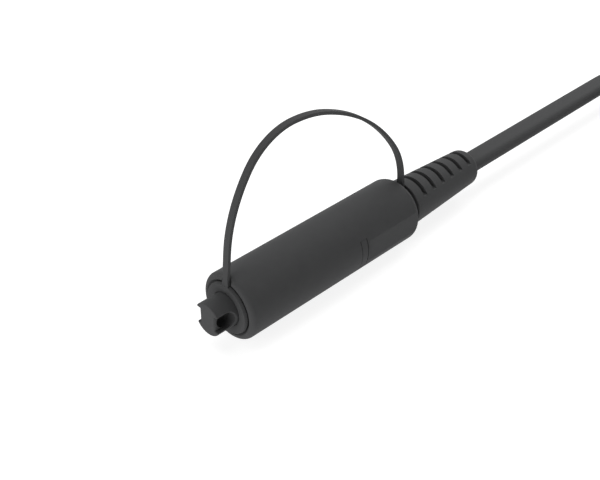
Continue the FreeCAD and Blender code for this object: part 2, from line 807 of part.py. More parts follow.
def arc_step(point, heading, radius, turn):
    # Heading is measured from straight up towards +X; the bend centre lies on the right-hand side
    centre = point + Vector(math.cos(heading), 0, -math.sin(heading)) * radius

    def on_arc(angle, offset):
        outward = Vector(-math.cos(angle), 0, math.sin(angle))
        return centre + outward * (radius + offset)

    return on_arc, on_arc(heading + turn, 0)


def arch_runs(start):
    runs = []
    point, heading = start, math.radians(foot_lean)
    for share, degrees in arch_bends:
        turn = math.radians(degrees)
        on_arc, end = arc_step(point, heading, share * (seam - start.x), turn)
        runs.append((on_arc, heading, heading + turn))
        point, heading = end, heading + turn
    last_radius = (seam - point.x) / (math.cos(heading) + 1)
    on_arc, end = arc_step(point, heading, last_radius, math.pi - heading)
    runs.append((on_arc, heading, math.pi))
    return runs, end


# The arch starts higher where it would otherwise end below the rear ring
flat_end = arch_runs(foot)[1]
rise = max(0.0, seam_top + value("strap_leg") - flat_end.z)
edge_runs, arch_end = arch_runs(foot + Vector(0, 0, rise))
print("strap rise", round(rise, 2), "straight leg", round(arch_end.z - seam_top, 2))


def side_edges(offset):
    edges = []
    for on_arc, start, stop_angle in edge_runs:
        mids = [on_arc(angle, offset) for angle in (start, (start + stop_angle) / 2, stop_angle)]
        edges.append(Part.Arc(*mids).toShape())
    return edges


outer = side_edges(half_strap)
inner = side_edges(-half_strap)
across = Vector(half_strap, 0, 0)
ring_top = Vector(seam, 0, seam_top)
rear_leg = [outer[-1].Vertexes[1].Point, ring_top + across, ring_top - across, inner[-1].Vertexes[1].Point]
base = foot - Vector(0, 0, value("strap_leg"))
front_leg = [inner[0].Vertexes[0].Point, base + across, base - across, outer[0].Vertexes[0].Point]
legs = [
    Part.makeLine(start, stop_point)
    for leg in (rear_leg, front_leg)
    for start, stop_point in zip(leg, leg[1:])
    if start.distanceToPoint(stop_point) > 1e-6
]
strap_profile = doc.addObject("Part::Feature", "strap_profile")
strap_profile.Shape = Part.Wire(Part.__sortEdges__(outer + legs + inner))
strap = add_band("tether_strap", strap_profile, "strap_width")
tether = doc.addObject("Part::MultiFuse", "tether")
tether.Label = "tether"
tether.Shapes = [front_ring, lip_ring, strap, rear_ring]
nodes.append(tether)
doc.recompute()

# Cable run: flat section swept along straight stretches joined by a tangent bend
drop = value("sleeve_radius - tie_thickness - cable_width / 2")
slope = drop / value("run_tail + coil_lead")
bend = Vector(value(f"{boot_end} + run_straight"), 0, 0)
downhill = Vector(1, 0, -slope)
route = [
    Vector(value(boot_end), 0, 0),
    bend,
    bend + downhill * value("run_tail"),
]


def rounded_path(points):
    edges = []
    start = points[0]
    for before, corner, after in zip(points, points[1:], points[2:]):
        back = before - corner
        ahead = after - corner
        shorter = min(back.Length, ahead.Length)
        half_turn = (math.pi - back.getAngle(ahead)) / 2
        reach = value("bend_share") * shorter
        back.normalize()
        ahead.normalize()
        radius = reach / math.tan(half_turn)
        print("cable bend radius", round(radius, 1))
        centre_way = back + ahead
        centre_way.normalize()
        centre = corner + centre_way * (radius / math.cos(half_turn))
        enter = corner + back * reach
        leave = corner + ahead * reach
        edges.append(Part.makeLine(start, enter))
        edges.append(Part.Arc(enter, centre - centre_way * radius, leave).toShape())
        start = leave
    edges.append(Part.makeLine(start, points[-1]))
    return Part.Wire(edges)


cable_path = rounded_path(route)
cable_section = cable_inner.Shape.copy()
end_face = max(cable_section.Faces, key=lambda face: face.CenterOfMass.x)
run = doc.addObject("Part::Feature", "cable_run")
run.Label = "cable_run"
run.Shape = cable_path.makePipeShell([end_face.OuterWire], True, False)
nodes.append(run)
swept = round(end_face.Area * cable_path.Length)
print("cable run volume", round(run.Shape.Volume), "section by length", swept)

# Coil lying on its ties: one plain solid of the outer shape, with the lead that meets the run
coil_x = f"({boot_end} + run_straight + run_tail + coil_lead)"
coil_half = "(coil_turns * (cable_height + coil_gap) / 2)"
coil_middle = f"(-coil_radius - {coil_half})"
coil_bottom = "(tie_thickness - sleeve_radius)"
coil_outer = f"(coil_radius + {coil_half} + cable_height / 2)"
coil_inner = f"(coil_radius - {coil_half} - cable_height / 2)"
coil_shapes = []
for part, radius in (("outside", coil_outer), ("inside", coil_inner)):
    cylinder = doc.addObject("Part::Cylinder", f"coil_{part}")
    bind(cylinder, "Radius", radius)
    bind(cylinder, "Height", "cable_width")
    bind(cylinder, "Placement.Base.x", coil_x)
    bind(cylinder, "Placement.Base.y", coil_middle)
    bind(cylinder, "Placement.Base.z", coil_bottom)
    coil_shapes.append(cylinder)
coil_ring = doc.addObject("Part::Cut", "coil_ring")
coil_ring.Base, coil_ring.Tool = coil_shapes
half_width = Vector(slope, 0, 1).normalize() * value("cable_width / 2")
lead_end = bend + downhill * value("run_tail + coil_lead")
lead_corners = [route[-1] - half_width, lead_end - half_width, lead_end + half_width, route[-1] + half_width]
lead_profile = doc.addObject("Part::Feature", "coil_lead_profile")
lead_profile.Shape = Part.makePolygon(lead_corners + lead_corners[:1])
lead = add_band("coil_lead_block", lead_profile, "cable_height")
coil = doc.addObject("Part::MultiFuse", "cable_coil")
coil.Label = "cable_coil"
coil.Shapes = [coil_ring, lead]
nodes.append(coil)

tie_loops = []
for turn in (30, 150, 270):
    loop_shapes = []
    for part, margin, width in (
        ("outside", "tie_clearance + tie_thickness", "tie_width"),
        ("inside", "tie_clearance", "tie_width + 2 * cut_margin"),
    ):
        block = doc.addObject("Part::Box", f"tie_{part}")
        bind(block, "Length", f"{coil_outer} - {coil_inner} + 2 * ({margin})")
        bind(block, "Width", width)
        bind(block, "Height", f"cable_width + 2 * ({margin} - tie_clearance)")
        bind(block, "Placement.Base.x", f"{coil_inner} - ({margin})")
        bind(block, "Placement.Base.y", f"-({width}) / 2")
        bind(block, "Placement.Base.z", f"{coil_bottom} - ({margin} - tie_clearance)")
        loop_shapes.append(block)
    loop = doc.addObject("Part::Cut", "tie_loop")
    loop.Base, loop.Tool = loop_shapes
    loop.Placement = Placement(Vector(), Rotation(Vector(0, 0, 1), turn))
    bind(loop, "Placement.Base.x", coil_x)
    bind(loop, "Placement.Base.y", coil_middle)
    tie_loops.append(loop)
ties = doc.addObject("Part::Compound", "coil_ties")
ties.Label = "coil_ties"
ties.Links = tie_loops
nodes.append(ties)

doc.recompute()
for item in doc.Objects:
    if "Invalid" in item.State or "Error" in item.State:
        raise RuntimeError(f"{item.Name} did not build: {item.State}")
os.makedirs("parts", exist_ok=True)
for node in nodes:
    shape = node.Shape
    if shape.isNull() or not shape.isValid():
        raise RuntimeError(f"{node.Label} has no valid shape")
    print(node.Label, len(shape.Solids), round(shape.Volume, 2))
    shape.exportStep(f"parts/{node.Label}.step")
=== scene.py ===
import math

import bpy
import numpy as np
from mathutils import Matrix, Vector


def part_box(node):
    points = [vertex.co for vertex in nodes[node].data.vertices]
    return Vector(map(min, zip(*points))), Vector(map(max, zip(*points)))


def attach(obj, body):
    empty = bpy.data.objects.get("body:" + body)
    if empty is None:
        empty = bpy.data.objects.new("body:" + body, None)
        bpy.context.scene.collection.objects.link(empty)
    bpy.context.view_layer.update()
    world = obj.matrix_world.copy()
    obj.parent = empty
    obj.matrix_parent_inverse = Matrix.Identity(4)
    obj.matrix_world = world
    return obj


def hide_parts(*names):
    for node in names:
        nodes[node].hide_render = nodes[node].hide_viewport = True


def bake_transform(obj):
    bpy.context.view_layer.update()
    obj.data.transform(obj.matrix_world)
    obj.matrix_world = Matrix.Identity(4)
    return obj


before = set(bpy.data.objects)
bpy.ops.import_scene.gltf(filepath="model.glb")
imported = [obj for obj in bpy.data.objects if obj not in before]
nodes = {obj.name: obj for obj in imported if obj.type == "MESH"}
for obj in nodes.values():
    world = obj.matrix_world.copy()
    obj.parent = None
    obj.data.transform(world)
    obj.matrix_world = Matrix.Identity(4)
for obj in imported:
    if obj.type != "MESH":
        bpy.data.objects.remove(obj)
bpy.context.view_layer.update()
print("stage: frame loaded,", len(nodes), "nodes")

# Camera at the photograph's angle: level roll, looking along (1, 1, -1)
cameraSet = {
    "place": (-0.12724, -0.15486, 0.16342),
    "right": (1, -1, 0),
    "up": (1, 1, 2),
    "back": (-1, -1, 1),
    "lens": 57.1,
    "sensor": 36.0,
    "nearest": 0.01,
}


def makeCamera():
    lensData = bpy.data.cameras.new("camera")
    lensData.lens = cameraSet["lens"]
    lensData.sensor_width = cameraSet["sensor"]
    lensData.sensor_fit = "HORIZONTAL"
    lensData.clip_start = cameraSet["nearest"]
    camera = bpy.data.objects.new("camera", lensData)
    axes = [Vector(cameraSet[k]).normalized() for k in ("right", "up", "back")]
    turn = Matrix(axes).transposed().to_4x4()
    camera.matrix_world = Matrix.Translation(cameraSet["place"]) @ turn
    bpy.context.scene.collection.objects.link(camera)
    bpy.context.scene.camera = camera


makeCamera()
bpy.context.scene.view_settings.view_transform = "Standard"
print("stage: camera set")


# Node helpers
def newMaterial(name):
    material = bpy.data.materials.new(name)
    material.use_nodes = True
    tree = material.node_tree
    tree.nodes.clear()
    output = tree.nodes.new("ShaderNodeOutputMaterial")
    shader = tree.nodes.new("ShaderNodeBsdfPrincipled")
    tree.links.new(shader.outputs["BSDF"], output.inputs["Surface"])
    return material, tree, shader


def objectNoise(tree, scale, detail, roughness=0.55, stretch=(1, 1, 1)):
    coord = tree.nodes.new("ShaderNodeTexCoord")
    mapping = tree.nodes.new("ShaderNodeMapping")
    mapping.inputs["Scale"].default_value = stretch
    noise = tree.nodes.new("ShaderNodeTexNoise")
    noise.inputs["Scale"].default_value = scale
    noise.inputs["Detail"].default_value = detail
    noise.inputs["Roughness"].default_value = roughness
    tree.links.new(coord.outputs["Object"], mapping.inputs["Vector"])
    tree.links.new(mapping.outputs["Vector"], noise.inputs["Vector"])
    return noise.outputs["Fac"]


def ramp(tree, factor, places, colors):
    node = tree.nodes.new("ShaderNodeValToRGB")
    for element, place, color in zip(node.color_ramp.elements, places, colors):
        element.position = place
        element.color = (*color, 1)
    tree.links.new(factor, node.inputs["Fac"])
    return node.outputs["Color"]


def spread(tree, factor, low, high):
    node = tree.nodes.new("ShaderNodeMapRange")
    node.inputs["To Min"].default_value = low
    node.inputs["To Max"].default_value = high
    tree.links.new(factor, node.inputs["Value"])
    return node.outputs["Result"]


def grainBump(tree, shader, height, strength, distance):
    node = tree.nodes.new("ShaderNodeBump")
    node.inputs["Strength"].default_value = strength
    node.inputs["Distance"].default_value = distance
    tree.links.new(height, node.inputs["Height"])
    tree.links.new(node.outputs["Normal"], shader.inputs["Normal"])


# Finishes: base colour, its spread, roughness range, gloss, grain count per metre, grain depth in metres
finishes = {
    "sleeveShell": dict(color=(0.0535, 0.0540, 0.0549), vary=0.035, rough=(0.62, 0.72), gloss=0.03,
                        grain=5200, depth=9e-6),
    "capShell": dict(color=(0.0535, 0.0540, 0.0549), vary=0.035, rough=(0.60, 0.70), gloss=0.03,
                     grain=5600, depth=8e-6),
    "bootRubber": dict(color=(0.0555, 0.0560, 0.0569), vary=0.035, rough=(0.64, 0.76), gloss=0.03,
                       grain=4200, depth=1e-5),
    "tetherRubber": dict(color=(0.0535, 0.0540, 0.0549), vary=0.035, rough=(0.64, 0.76), gloss=0.03,
                         grain=4600, depth=8e-6),
    "cableJacket": dict(color=(0.0530, 0.0535, 0.0544), vary=0.035, rough=(0.60, 0.72), gloss=0.03,
                        grain=3600, depth=8e-6),
    "tiePlastic": dict(color=(0.026, 0.026, 0.027), vary=0.10, rough=(0.40, 0.52), gloss=0.45,
                       grain=3000, depth=6e-6),
    "sealRubber": dict(color=(0.016, 0.016, 0.017), vary=0.15, rough=(0.45, 0.60), gloss=0.45,
                       grain=6000, depth=5e-6),
    "housingPlastic": dict(color=(0.028, 0.029, 0.031), vary=0.12, rough=(0.44, 0.56), gloss=0.45,
                           grain=5200, depth=8e-6),
    "framePlastic": dict(color=(0.030, 0.170, 0.052), vary=0.10, rough=(0.28, 0.38), gloss=0.50,
                         grain=4000, depth=3e-6),
    "ferruleCeramic": dict(color=(0.78, 0.77, 0.73), vary=0.04, rough=(0.12, 0.20), gloss=0.50,
                           grain=7000, depth=1e-6),
    "crimpPlastic": dict(color=(0.080, 0.081, 0.085), vary=0.10, rough=(0.42, 0.54), gloss=0.45,
                         grain=4800, depth=6e-6),
    "rodResin": dict(color=(0.62, 0.53, 0.30), vary=0.14, rough=(0.22, 0.34), gloss=0.50,
                     grain=6500, depth=3e-6),
    "fibreCoat": dict(color=(0.72, 0.72, 0.74), vary=0.06, rough=(0.25, 0.35), gloss=0.50,
                      grain=5000, depth=2e-6),
}
# How a moulded finish varies: soft clouds in colour and roughness, fine grain in height
mouldedSet = {
    "cloudScale": 260.0,
    "cloudDetail": 4.0,
    "cloudStops": (0.30, 0.72),
    "grainDetail": 2.0,
    "grainStrength": 0.5,
}
# Metals: base colour, roughness range, streak count per metre and its stretch along x, y and z
metalFinishes = {
    "turnedSteel": dict(color=(0.56, 0.56, 0.57), rough=(0.24, 0.38), scale=9000, stretch=(6, 1, 1)),
    "bandMetal": dict(color=(0.66, 0.66, 0.67), rough=(0.30, 0.44), scale=7000, stretch=(1, 5, 5)),
}
# How a metal varies: the same streaks in colour, roughness and height
metalSet = {
    "streakDetail": 2.0,
    "streakRoughness": 0.6,
    "streakStops": (0.25, 0.8),
    "streakTints": (0.86, 1.08),
    "streakStrength": 0.3,
    "streakDepth": 2e-6,
}


def mouldedFinish(name):
    look, m = finishes[name], mouldedSet
    material, tree, shader = newMaterial(name)
    tints = np.outer((1 - look["vary"], 1 + look["vary"]), look["color"])
    cloud = objectNoise(tree, m["cloudScale"], m["cloudDetail"])
    grain = objectNoise(tree, look["grain"], m["grainDetail"])
    tree.links.new(ramp(tree, cloud, m["cloudStops"], tints), shader.inputs["Base Color"])
    tree.links.new(spread(tree, cloud, *look["rough"]), shader.inputs["Roughness"])
    shader.inputs["Specular IOR Level"].default_value = look["gloss"]
    grainBump(tree, shader, grain, m["grainStrength"], look["depth"])
    return material


def metalFinish(name):
    look, m = metalFinishes[name], metalSet
    material, tree, shader = newMaterial(name)
    tints = np.outer(m["streakTints"], look["color"])
    streak = objectNoise(tree, look["scale"], m["streakDetail"], m["streakRoughness"], look["stretch"])
    tree.links.new(ramp(tree, streak, m["streakStops"], tints), shader.inputs["Base Color"])
    tree.links.new(spread(tree, streak, *look["rough"]), shader.inputs["Roughness"])
    shader.inputs["Metallic"].default_value = 1.0
    grainBump(tree, shader, streak, m["streakStrength"], m["streakDepth"])
    return material


surfaces = {name: mouldedFinish(name) for name in finishes}
surfaces.update({name: metalFinish(name) for name in metalFinishes})

nodeFinish = {
    "coupling_sleeve": "sleeveShell",
    "sleeve_retainer": "sleeveShell",
    "dust_cap": "capShell",
    "cap_o_ring": "sealRubber",
    "tether": "tetherRubber",
    "plug_housing": "housingPlastic",
    "plug_frame": "framePlastic",
    "ferrule": "ferruleCeramic",
    "ferrule_flange": "turnedSteel",
    "ferrule_spring": "turnedSteel",
    "spring_stop": "crimpPlastic",
    "front_o_ring": "sealRubber",
    "rear_o_ring": "sealRubber",
    "thrust_washer": "turnedSteel",
    "strain_relief_boot": "bootRubber",
    "crimp_body_upper": "crimpPlastic",
    "crimp_body_lower": "crimpPlastic",
    "crimp_band": "bandMetal",
    "strength_rods": "rodResin",
    "fibre_tube": "fibreCoat",
    "cable_inner": "cableJacket",
    "cable_run": "cableJacket",
    "cable_coil": "cableJacket",
    "coil_ties": "tiePlastic",
}
for nodeName, finishName in nodeFinish.items():
    meshData = nodes[nodeName].data
    meshData.materials.clear()
    meshData.materials.append(surfaces[finishName])
print("stage: finishes assigned")


# Surface helpers
sharpAngle = 38  # degrees between faces beyond which an edge stays sharp
squareCorners = np.array([(-1, -1), (1, -1), (1, 1), (-1, 1)])


def meshPiece(name, parts, finish, body=None):
    # Several closed shells, each a pair of points and faces, put into one mesh
    points = np.vstack([p for p, f in parts])
    starts = np.cumsum([0] + [len(p) for p, f in parts[:-1]])
    faces = [[k + start for k in face] for (p, f), start in zip(parts, starts.tolist()) for face in f]
    data = bpy.data.meshes.new(name)
    data.from_pydata(points.tolist(), [], faces)
    data.materials.append(surfaces[finish])
    data.polygons.foreach_set("use_smooth", np.ones(len(data.polygons), bool))
    data.set_sharp_from_angle(angle=math.radians(sharpAngle))
    data.update()
    piece = bpy.data.objects.new(name, data)
    bpy.context.scene.collection.objects.link(piece)
    if body:
        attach(piece, body)
    return piece


def gridFaces(rows, columns, closedRows=False, capped=False):
    # Quads of a rows x columns grid closed along its columns, point k = row * columns + column
    r = np.arange(rows if closedRows else rows - 1)
    r, c = [m.ravel() for m in np.meshgrid(r, np.arange(columns), indexing="ij")]
    rn = (r + 1) % rows
    cn = (c + 1) % columns
    quads = [r * columns + c, r * columns + cn, rn * columns + cn, rn * columns + c]
    faces = np.stack(quads, axis=1).tolist()
    if capped:
        faces.append(list(range(columns))[::-1])
        faces.append(list(range((rows - 1) * columns, rows * columns)))
    return faces


def unit(vectors):
    # Each vector divided by its own length
    return vectors / np.linalg.norm(vectors, axis=-1, keepdims=True)


def lengthAlong(path):
    # Sum of the steps from the first point to each point
    return np.concatenate([[0], np.cumsum(np.linalg.norm(np.diff(path, axis=0), axis=1))])


def roundedLoop(corners, radius, steps):
    # Each corner of a closed outline becomes an arc about corner + bisector * radius / sin(half angle)
    p = np.asarray(corners, float)
    r = np.broadcast_to(radius, len(p))[:, None]
    back = unit(np.roll(p, 1, axis=0) - p)
    ahead = unit(np.roll(p, -1, axis=0) - p)
    half = np.arccos(np.clip((back * ahead).sum(axis=1), -1, 1))[:, None] / 2
    centre = p + unit(back + ahead) * r / np.sin(half)
    start = p + back * r / np.tan(half) - centre
    stop = p + ahead * r / np.tan(half) - centre
    turn = math.pi - 2 * half
    t = np.linspace(0, 1, steps)[None, :]
    w0 = (np.sin((1 - t) * turn) / np.sin(turn))[..., None]
    w1 = (np.sin(t * turn) / np.sin(turn))[..., None]
    return (centre[:, None] + w0 * start[:, None] + w1 * stop[:, None]).reshape(-1, 2)


def turnedRing(loop, count=120):
    # Closed outline of (x, r), counter-clockwise, carried round the axis: (x, r cos a, r sin a)
    angle = np.linspace(0, 2 * math.pi, count, endpoint=False)[:, None]
    x, r = loop[None, :, 0], loop[None, :, 1]
    grid = np.stack([x + 0 * angle, r * np.cos(angle), r * np.sin(angle)], axis=2)
    return grid.reshape(-1, 3), gridFaces(count, len(loop), closedRows=True)


def sweptBar(path, wide, thin, section):
    # Section (a, b) carried along the path: point + a * wide + b * thin
    a, b = section[:, 0], section[:, 1]
    grid = path[:, None] + a[None, :, None] * wide[:, None] + b[None, :, None] * thin[:, None]
    return grid.reshape(-1, 3), gridFaces(len(path), len(section), capped=True)


def smoothStep(value, low, high):
    # 3 t^2 - 2 t^3 between low and high, flat outside
    t = np.clip((value - low) / (high - low), 0, 1)
    return t * t * (3 - 2 * t)


# Tether: ring round the cap's neck, arched flat strap and ring in the seam, all edges moulded round
tetherSet = {
    "foot": (-0.00028, 0.0063),
    "footSunk": 0.0002,
    "seam": 0.071525,
    "seamTop": 0.00685,
    "lean": 5.1,  # degrees from straight up
    # Each bend: radius as a share of the span, turn in degrees
    "bends": [(13.0, 0.7), (0.615, 30.2), (0.2783, 53.5), (0.5097, 19.5), (0.8332, 35.9)],
    "width": 0.0021,
    "thickness": 0.0010,
    "edge": 0.00006,
    "arcSteps": 40,
    "edgeSteps": 6,
    "flare": 0.22,
    "flareReach": 0.0022,
    "frontRing": [(-0.0006, 0.0052), (-0.00015, 0.0052), (-0.00013, 0.00475), (0.00022, 0.00475),
                  (0.00022, 0.00765), (0.00012, 0.0079), (-0.00078, 0.0076)],
    "frontEdges": [0.00004, 0.00003, 0.00003, 0.00003, 0.00003, 0.00005, 0.00012],
    "rearRing": [(0.0713, 0.00665), (0.07175, 0.00665), (0.07175, 0.00695), (0.0713, 0.00695)],
    "rearEdge": 0.0001,
    "rearSteps": 5,
}


def strapLine():
    # Arcs in the plane y = 0: each turns right about point + radius * (cos h, -sin h), h from straight up
    t = tetherSet
    span = t["seam"] - t["foot"][0]
    point, heading = np.array(t["foot"]), math.radians(t["lean"])
    runs = [np.array([point - (0, t["footSunk"])])]
    bends = [(share * span, math.radians(turn)) for share, turn in t["bends"]] + [(None, None)]
    for radius, turn in bends:
        if radius is None:
            radius, turn = (t["seam"] - point[0]) / (math.cos(heading) + 1), math.pi - heading
        centre = point + radius * np.array((math.cos(heading), -math.sin(heading)))
        angle = heading + np.linspace(0, turn, t["arcSteps"])
        arc = centre + radius * np.stack([-np.cos(angle), np.sin(angle)], axis=1)
        runs.append(arc if len(runs) == 1 else arc[1:])
        point, heading = arc[-1], heading + turn
    runs.append(np.array([(t["seam"], t["seamTop"])]))
    line = np.vstack(runs)
    return np.stack([line[:, 0], 0 * line[:, 0], line[:, 1]], axis=1)


def makeTether():
    # Rounded bar along the strap line, and two turned rings; the bar is wider by the factor
    # 1 + flare * exp(-(distance / reach)^2), with the distance from the nearer end
    t = tetherSet
    path = strapLine()
    along = lengthAlong(path)
    ends = np.minimum(along, along[-1] - along)
    flare = 1 + t["flare"] * np.exp(-(ends / t["flareReach"]) ** 2)
    tangent = unit(np.gradient(path, axis=0))
    wide = np.zeros_like(path)
    wide[:, 1] = flare
    thin = np.cross(tangent, (0.0, 1.0, 0.0))
    half = np.array((t["width"], t["thickness"])) / 2
    section = roundedLoop(half * squareCorners, t["edge"], t["edgeSteps"])
    strap = sweptBar(path, wide, thin, section)
    front = turnedRing(roundedLoop(t["frontRing"], t["frontEdges"], t["edgeSteps"]))
    rear = turnedRing(roundedLoop(t["rearRing"], t["rearEdge"], t["rearSteps"]))
    tether = meshPiece("tether_strap", [strap, front, rear], "tetherRubber")
    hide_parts("tether")
    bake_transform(tether)


makeTether()
print("stage: tether made")

# Two-start quick thread: ridges on the cap's shank and, half a pitch over, in the sleeve's mouth
threadSet = {
    "lead": 0.006,
    "starts": 2,
    "base": 0.0013,
    "top": 0.0007,
    "count": 180,
    "fadeTurn": 0.8,  # radians
    "lowest": 0.05,  # share of the height left at a ridge's ends
    "cap": dict(body="cap", start=0.0033, stop=0.0102, root=0.00645, crest=0.00705,
                phase=0.0, finish="capShell", slot="cap_shell"),
    "sleeve": dict(body="sleeve", start=0.0036, stop=0.0116, root=0.00735, crest=0.00675,
                   phase=0.0015, finish="sleeveShell", slot="sleeve_shell"),
}


def threadRidge(ridge, start):
    # Trapezoid on a helix x = lead * a / 2 pi + shift; the crest sinks to the root at both ends
    t, lead = threadSet, threadSet["lead"]
    shift = ridge["phase"] + start * lead / t["starts"]
    span = np.array((ridge["start"], ridge["stop"])) - shift
    angle = np.linspace(*(span * 2 * math.pi / lead), t["count"])
    fadeIn = smoothStep(angle, angle[0], angle[0] + t["fadeTurn"])
    fadeOut = 1 - smoothStep(angle, angle[-1] - t["fadeTurn"], angle[-1])
    across = np.array((-t["base"], -t["top"], t["top"], t["base"])) / 2
    rise = ridge["crest"] - ridge["root"]
    height = np.array((0, 1, 1, 0)) * rise
    r = ridge["root"] + height[None, :] * (t["lowest"] + (1 - t["lowest"]) * (fadeIn * fadeOut)[:, None])
    x = lead * angle[:, None] / (2 * math.pi) + shift + across[None, :]
    grid = np.stack([x, r * np.cos(angle)[:, None], r * np.sin(angle)[:, None]], axis=2)
    if rise > 0:  # keeps the faces outward on a ridge that stands outward
        grid = grid[:, ::-1]
    return grid.reshape(-1, 3), gridFaces(t["count"], len(across), capped=True)


def makeThreads():
    for key in ("cap", "sleeve"):
        ridge = threadSet[key]
        shells = [threadRidge(ridge, k) for k in range(threadSet["starts"])]
        meshPiece(key + "_thread", shells, ridge["finish"], ridge["body"])


makeThreads()
print("stage: threads made")

# Ferrule spring: fine wire between the flange and the stop
springSet = {
    "radius": 0.0019,
    "wire": 0.00014,
    "turns": 4,
    "count": 200,
    "sides": 12,
}


def makeSpring():
    # Circle carried along (x, r cos a, r sin a) with x in step with a
    s = springSet
    front, rear = (corner.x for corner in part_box("ferrule_spring"))
    angle = np.linspace(0, 2 * math.pi * s["turns"], s["count"])
    x = np.linspace(front + s["wire"], rear - s["wire"], s["count"])
    wide = np.stack([0 * angle, np.cos(angle), np.sin(angle)], axis=1)
    path = s["radius"] * wide + np.stack([x, 0 * x, 0 * x], axis=1)
    thin = np.cross(unit(np.gradient(path, axis=0)), wide)
    turn = np.linspace(0, 2 * math.pi, s["sides"], endpoint=False)
    section = s["wire"] * np.stack([np.cos(turn), np.sin(turn)], axis=1)
    spring = meshPiece("spring_wire", [sweptBar(path, wide, thin, section)], "turnedSteel")
    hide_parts("ferrule_spring")
    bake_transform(spring)


makeSpring()
print("stage: spring made")

# Cable: flat jacket that leaves the boot straight, drops to the floor, turns on edge and is wound up
cableSet = {
    "width": 0.0081,
    "height": 0.0045,
    "route": [(0.1058, 0), (0.184, 0), (0.198, 0), (0.212, -0.00194)],
    "coilStart": 0.237,
    "coilDrop": -0.0054,
    "coilRadius": 0.043,
    "coilTurns": 5.07,
    "turnPitch": 0.00465,
    "pointsPerTurn": 24,
    "splineOrder": 3,
    "splineSteps": 8,
    "sides": 40,
    "twist": (0.092, 0.132),  # lengths along the cable between which it turns on edge
    "length": 1.5,
    "rodRadius": 0.0006,
    "rodOffset": 0.0026,
    "rodReach": 0.0006,
    "fibreRadius": 0.00045,
    "fibreReach": 0.00096,
}


def coilOuter():
    # Radius of the first turn: middle radius + turns * pitch / 2
    return cableSet["coilRadius"] + cableSet["coilTurns"] * cableSet["turnPitch"] / 2


def cableRoute():
    # Control points: the run in the plane y = 0, then an inward spiral whose corners lie outside its circle
    c, outer = cableSet, coilOuter()
    run = [(x, 0.0, z) for x, z in c["route"]]
    step = 2 * math.pi / c["pointsPerTurn"]
    turned = (np.arange(int(c["coilTurns"] * c["pointsPerTurn"])) + 0.5) * step
    radius = (outer - c["turnPitch"] * turned / (2 * math.pi)) / math.cos(step / 2)
    coil = np.stack([
        c["coilStart"] + radius * np.sin(turned),
        -outer + radius * np.cos(turned),
        np.full_like(turned, c["coilDrop"]),
    ], axis=1)
    return np.vstack([run, coil])


def splinePath(name, points):
    # Line of the route's own smooth spline, read back as points
    curve = bpy.data.curves.new(name, "CURVE")
    curve.dimensions = "3D"
    curve.resolution_u = cableSet["splineSteps"]
    spline = curve.splines.new("NURBS")
    spline.points.add(len(points) - 1)
    spline.points.foreach_set("co", np.column_stack([points, np.ones(len(points))]).ravel())
    spline.order_u = cableSet["splineOrder"]
    spline.use_endpoint_u = True
    holder = bpy.data.objects.new(name, curve)
    bpy.context.scene.collection.objects.link(holder)
    line = bpy.data.meshes.new_from_object(holder)
    path = np.empty(len(line.vertices) * 3)
    line.vertices.foreach_get("co", path)
    bpy.data.objects.remove(holder)
    bpy.data.curves.remove(curve)
    bpy.data.meshes.remove(line)
    return path.reshape(-1, 3)


def stadiumLoop(width, height, count):
    # Two half circles joined by flats: arc centres at +-(width - height) / 2
    angle = np.linspace(-math.pi / 2, math.pi / 2, count // 2)
    reach = (width - height) / 2
    right = np.stack([reach + np.cos(angle) * height / 2, np.sin(angle) * height / 2], axis=1)
    return np.vstack([right, -right])


def roundRod(centre, axis, radius, length, count=24):
    # Circle about the axis at both ends: centre + radius * (cos a * u + sin a * v)
    u = unit(np.cross(axis, (0.0, 0.0, 1.0)))
    v = np.cross(axis, u)
    angle = np.linspace(0, 2 * math.pi, count, endpoint=False)[:, None]
    ring = radius * (np.cos(angle) * u + np.sin(angle) * v)
    points = np.vstack([centre - axis * length + ring, centre + axis * length + ring])
    return points, gridFaces(2, count, capped=True)


# Coil ties: flat bands drawn tight round the turns, each with a lock head outside and a short tail
tieSet = {
    "angles": (60, 180, 300),  # degrees round the coil
    "width": 0.0060,
    "thickness": 0.0008,
    "slack": 0.0001,
    "corner": 0.0024,
    "cornerSteps": 8,
    "blockSteps": 5,
    "blocks": [
        dict(size=(0.0036, 0.0052), side=0.0076, edge=0.0007, out=0.0010, up=0.0),
        dict(size=(0.0010, 0.0056), side=0.0046, edge=0.0003, out=0.0008, up=0.0049),
    ],
}


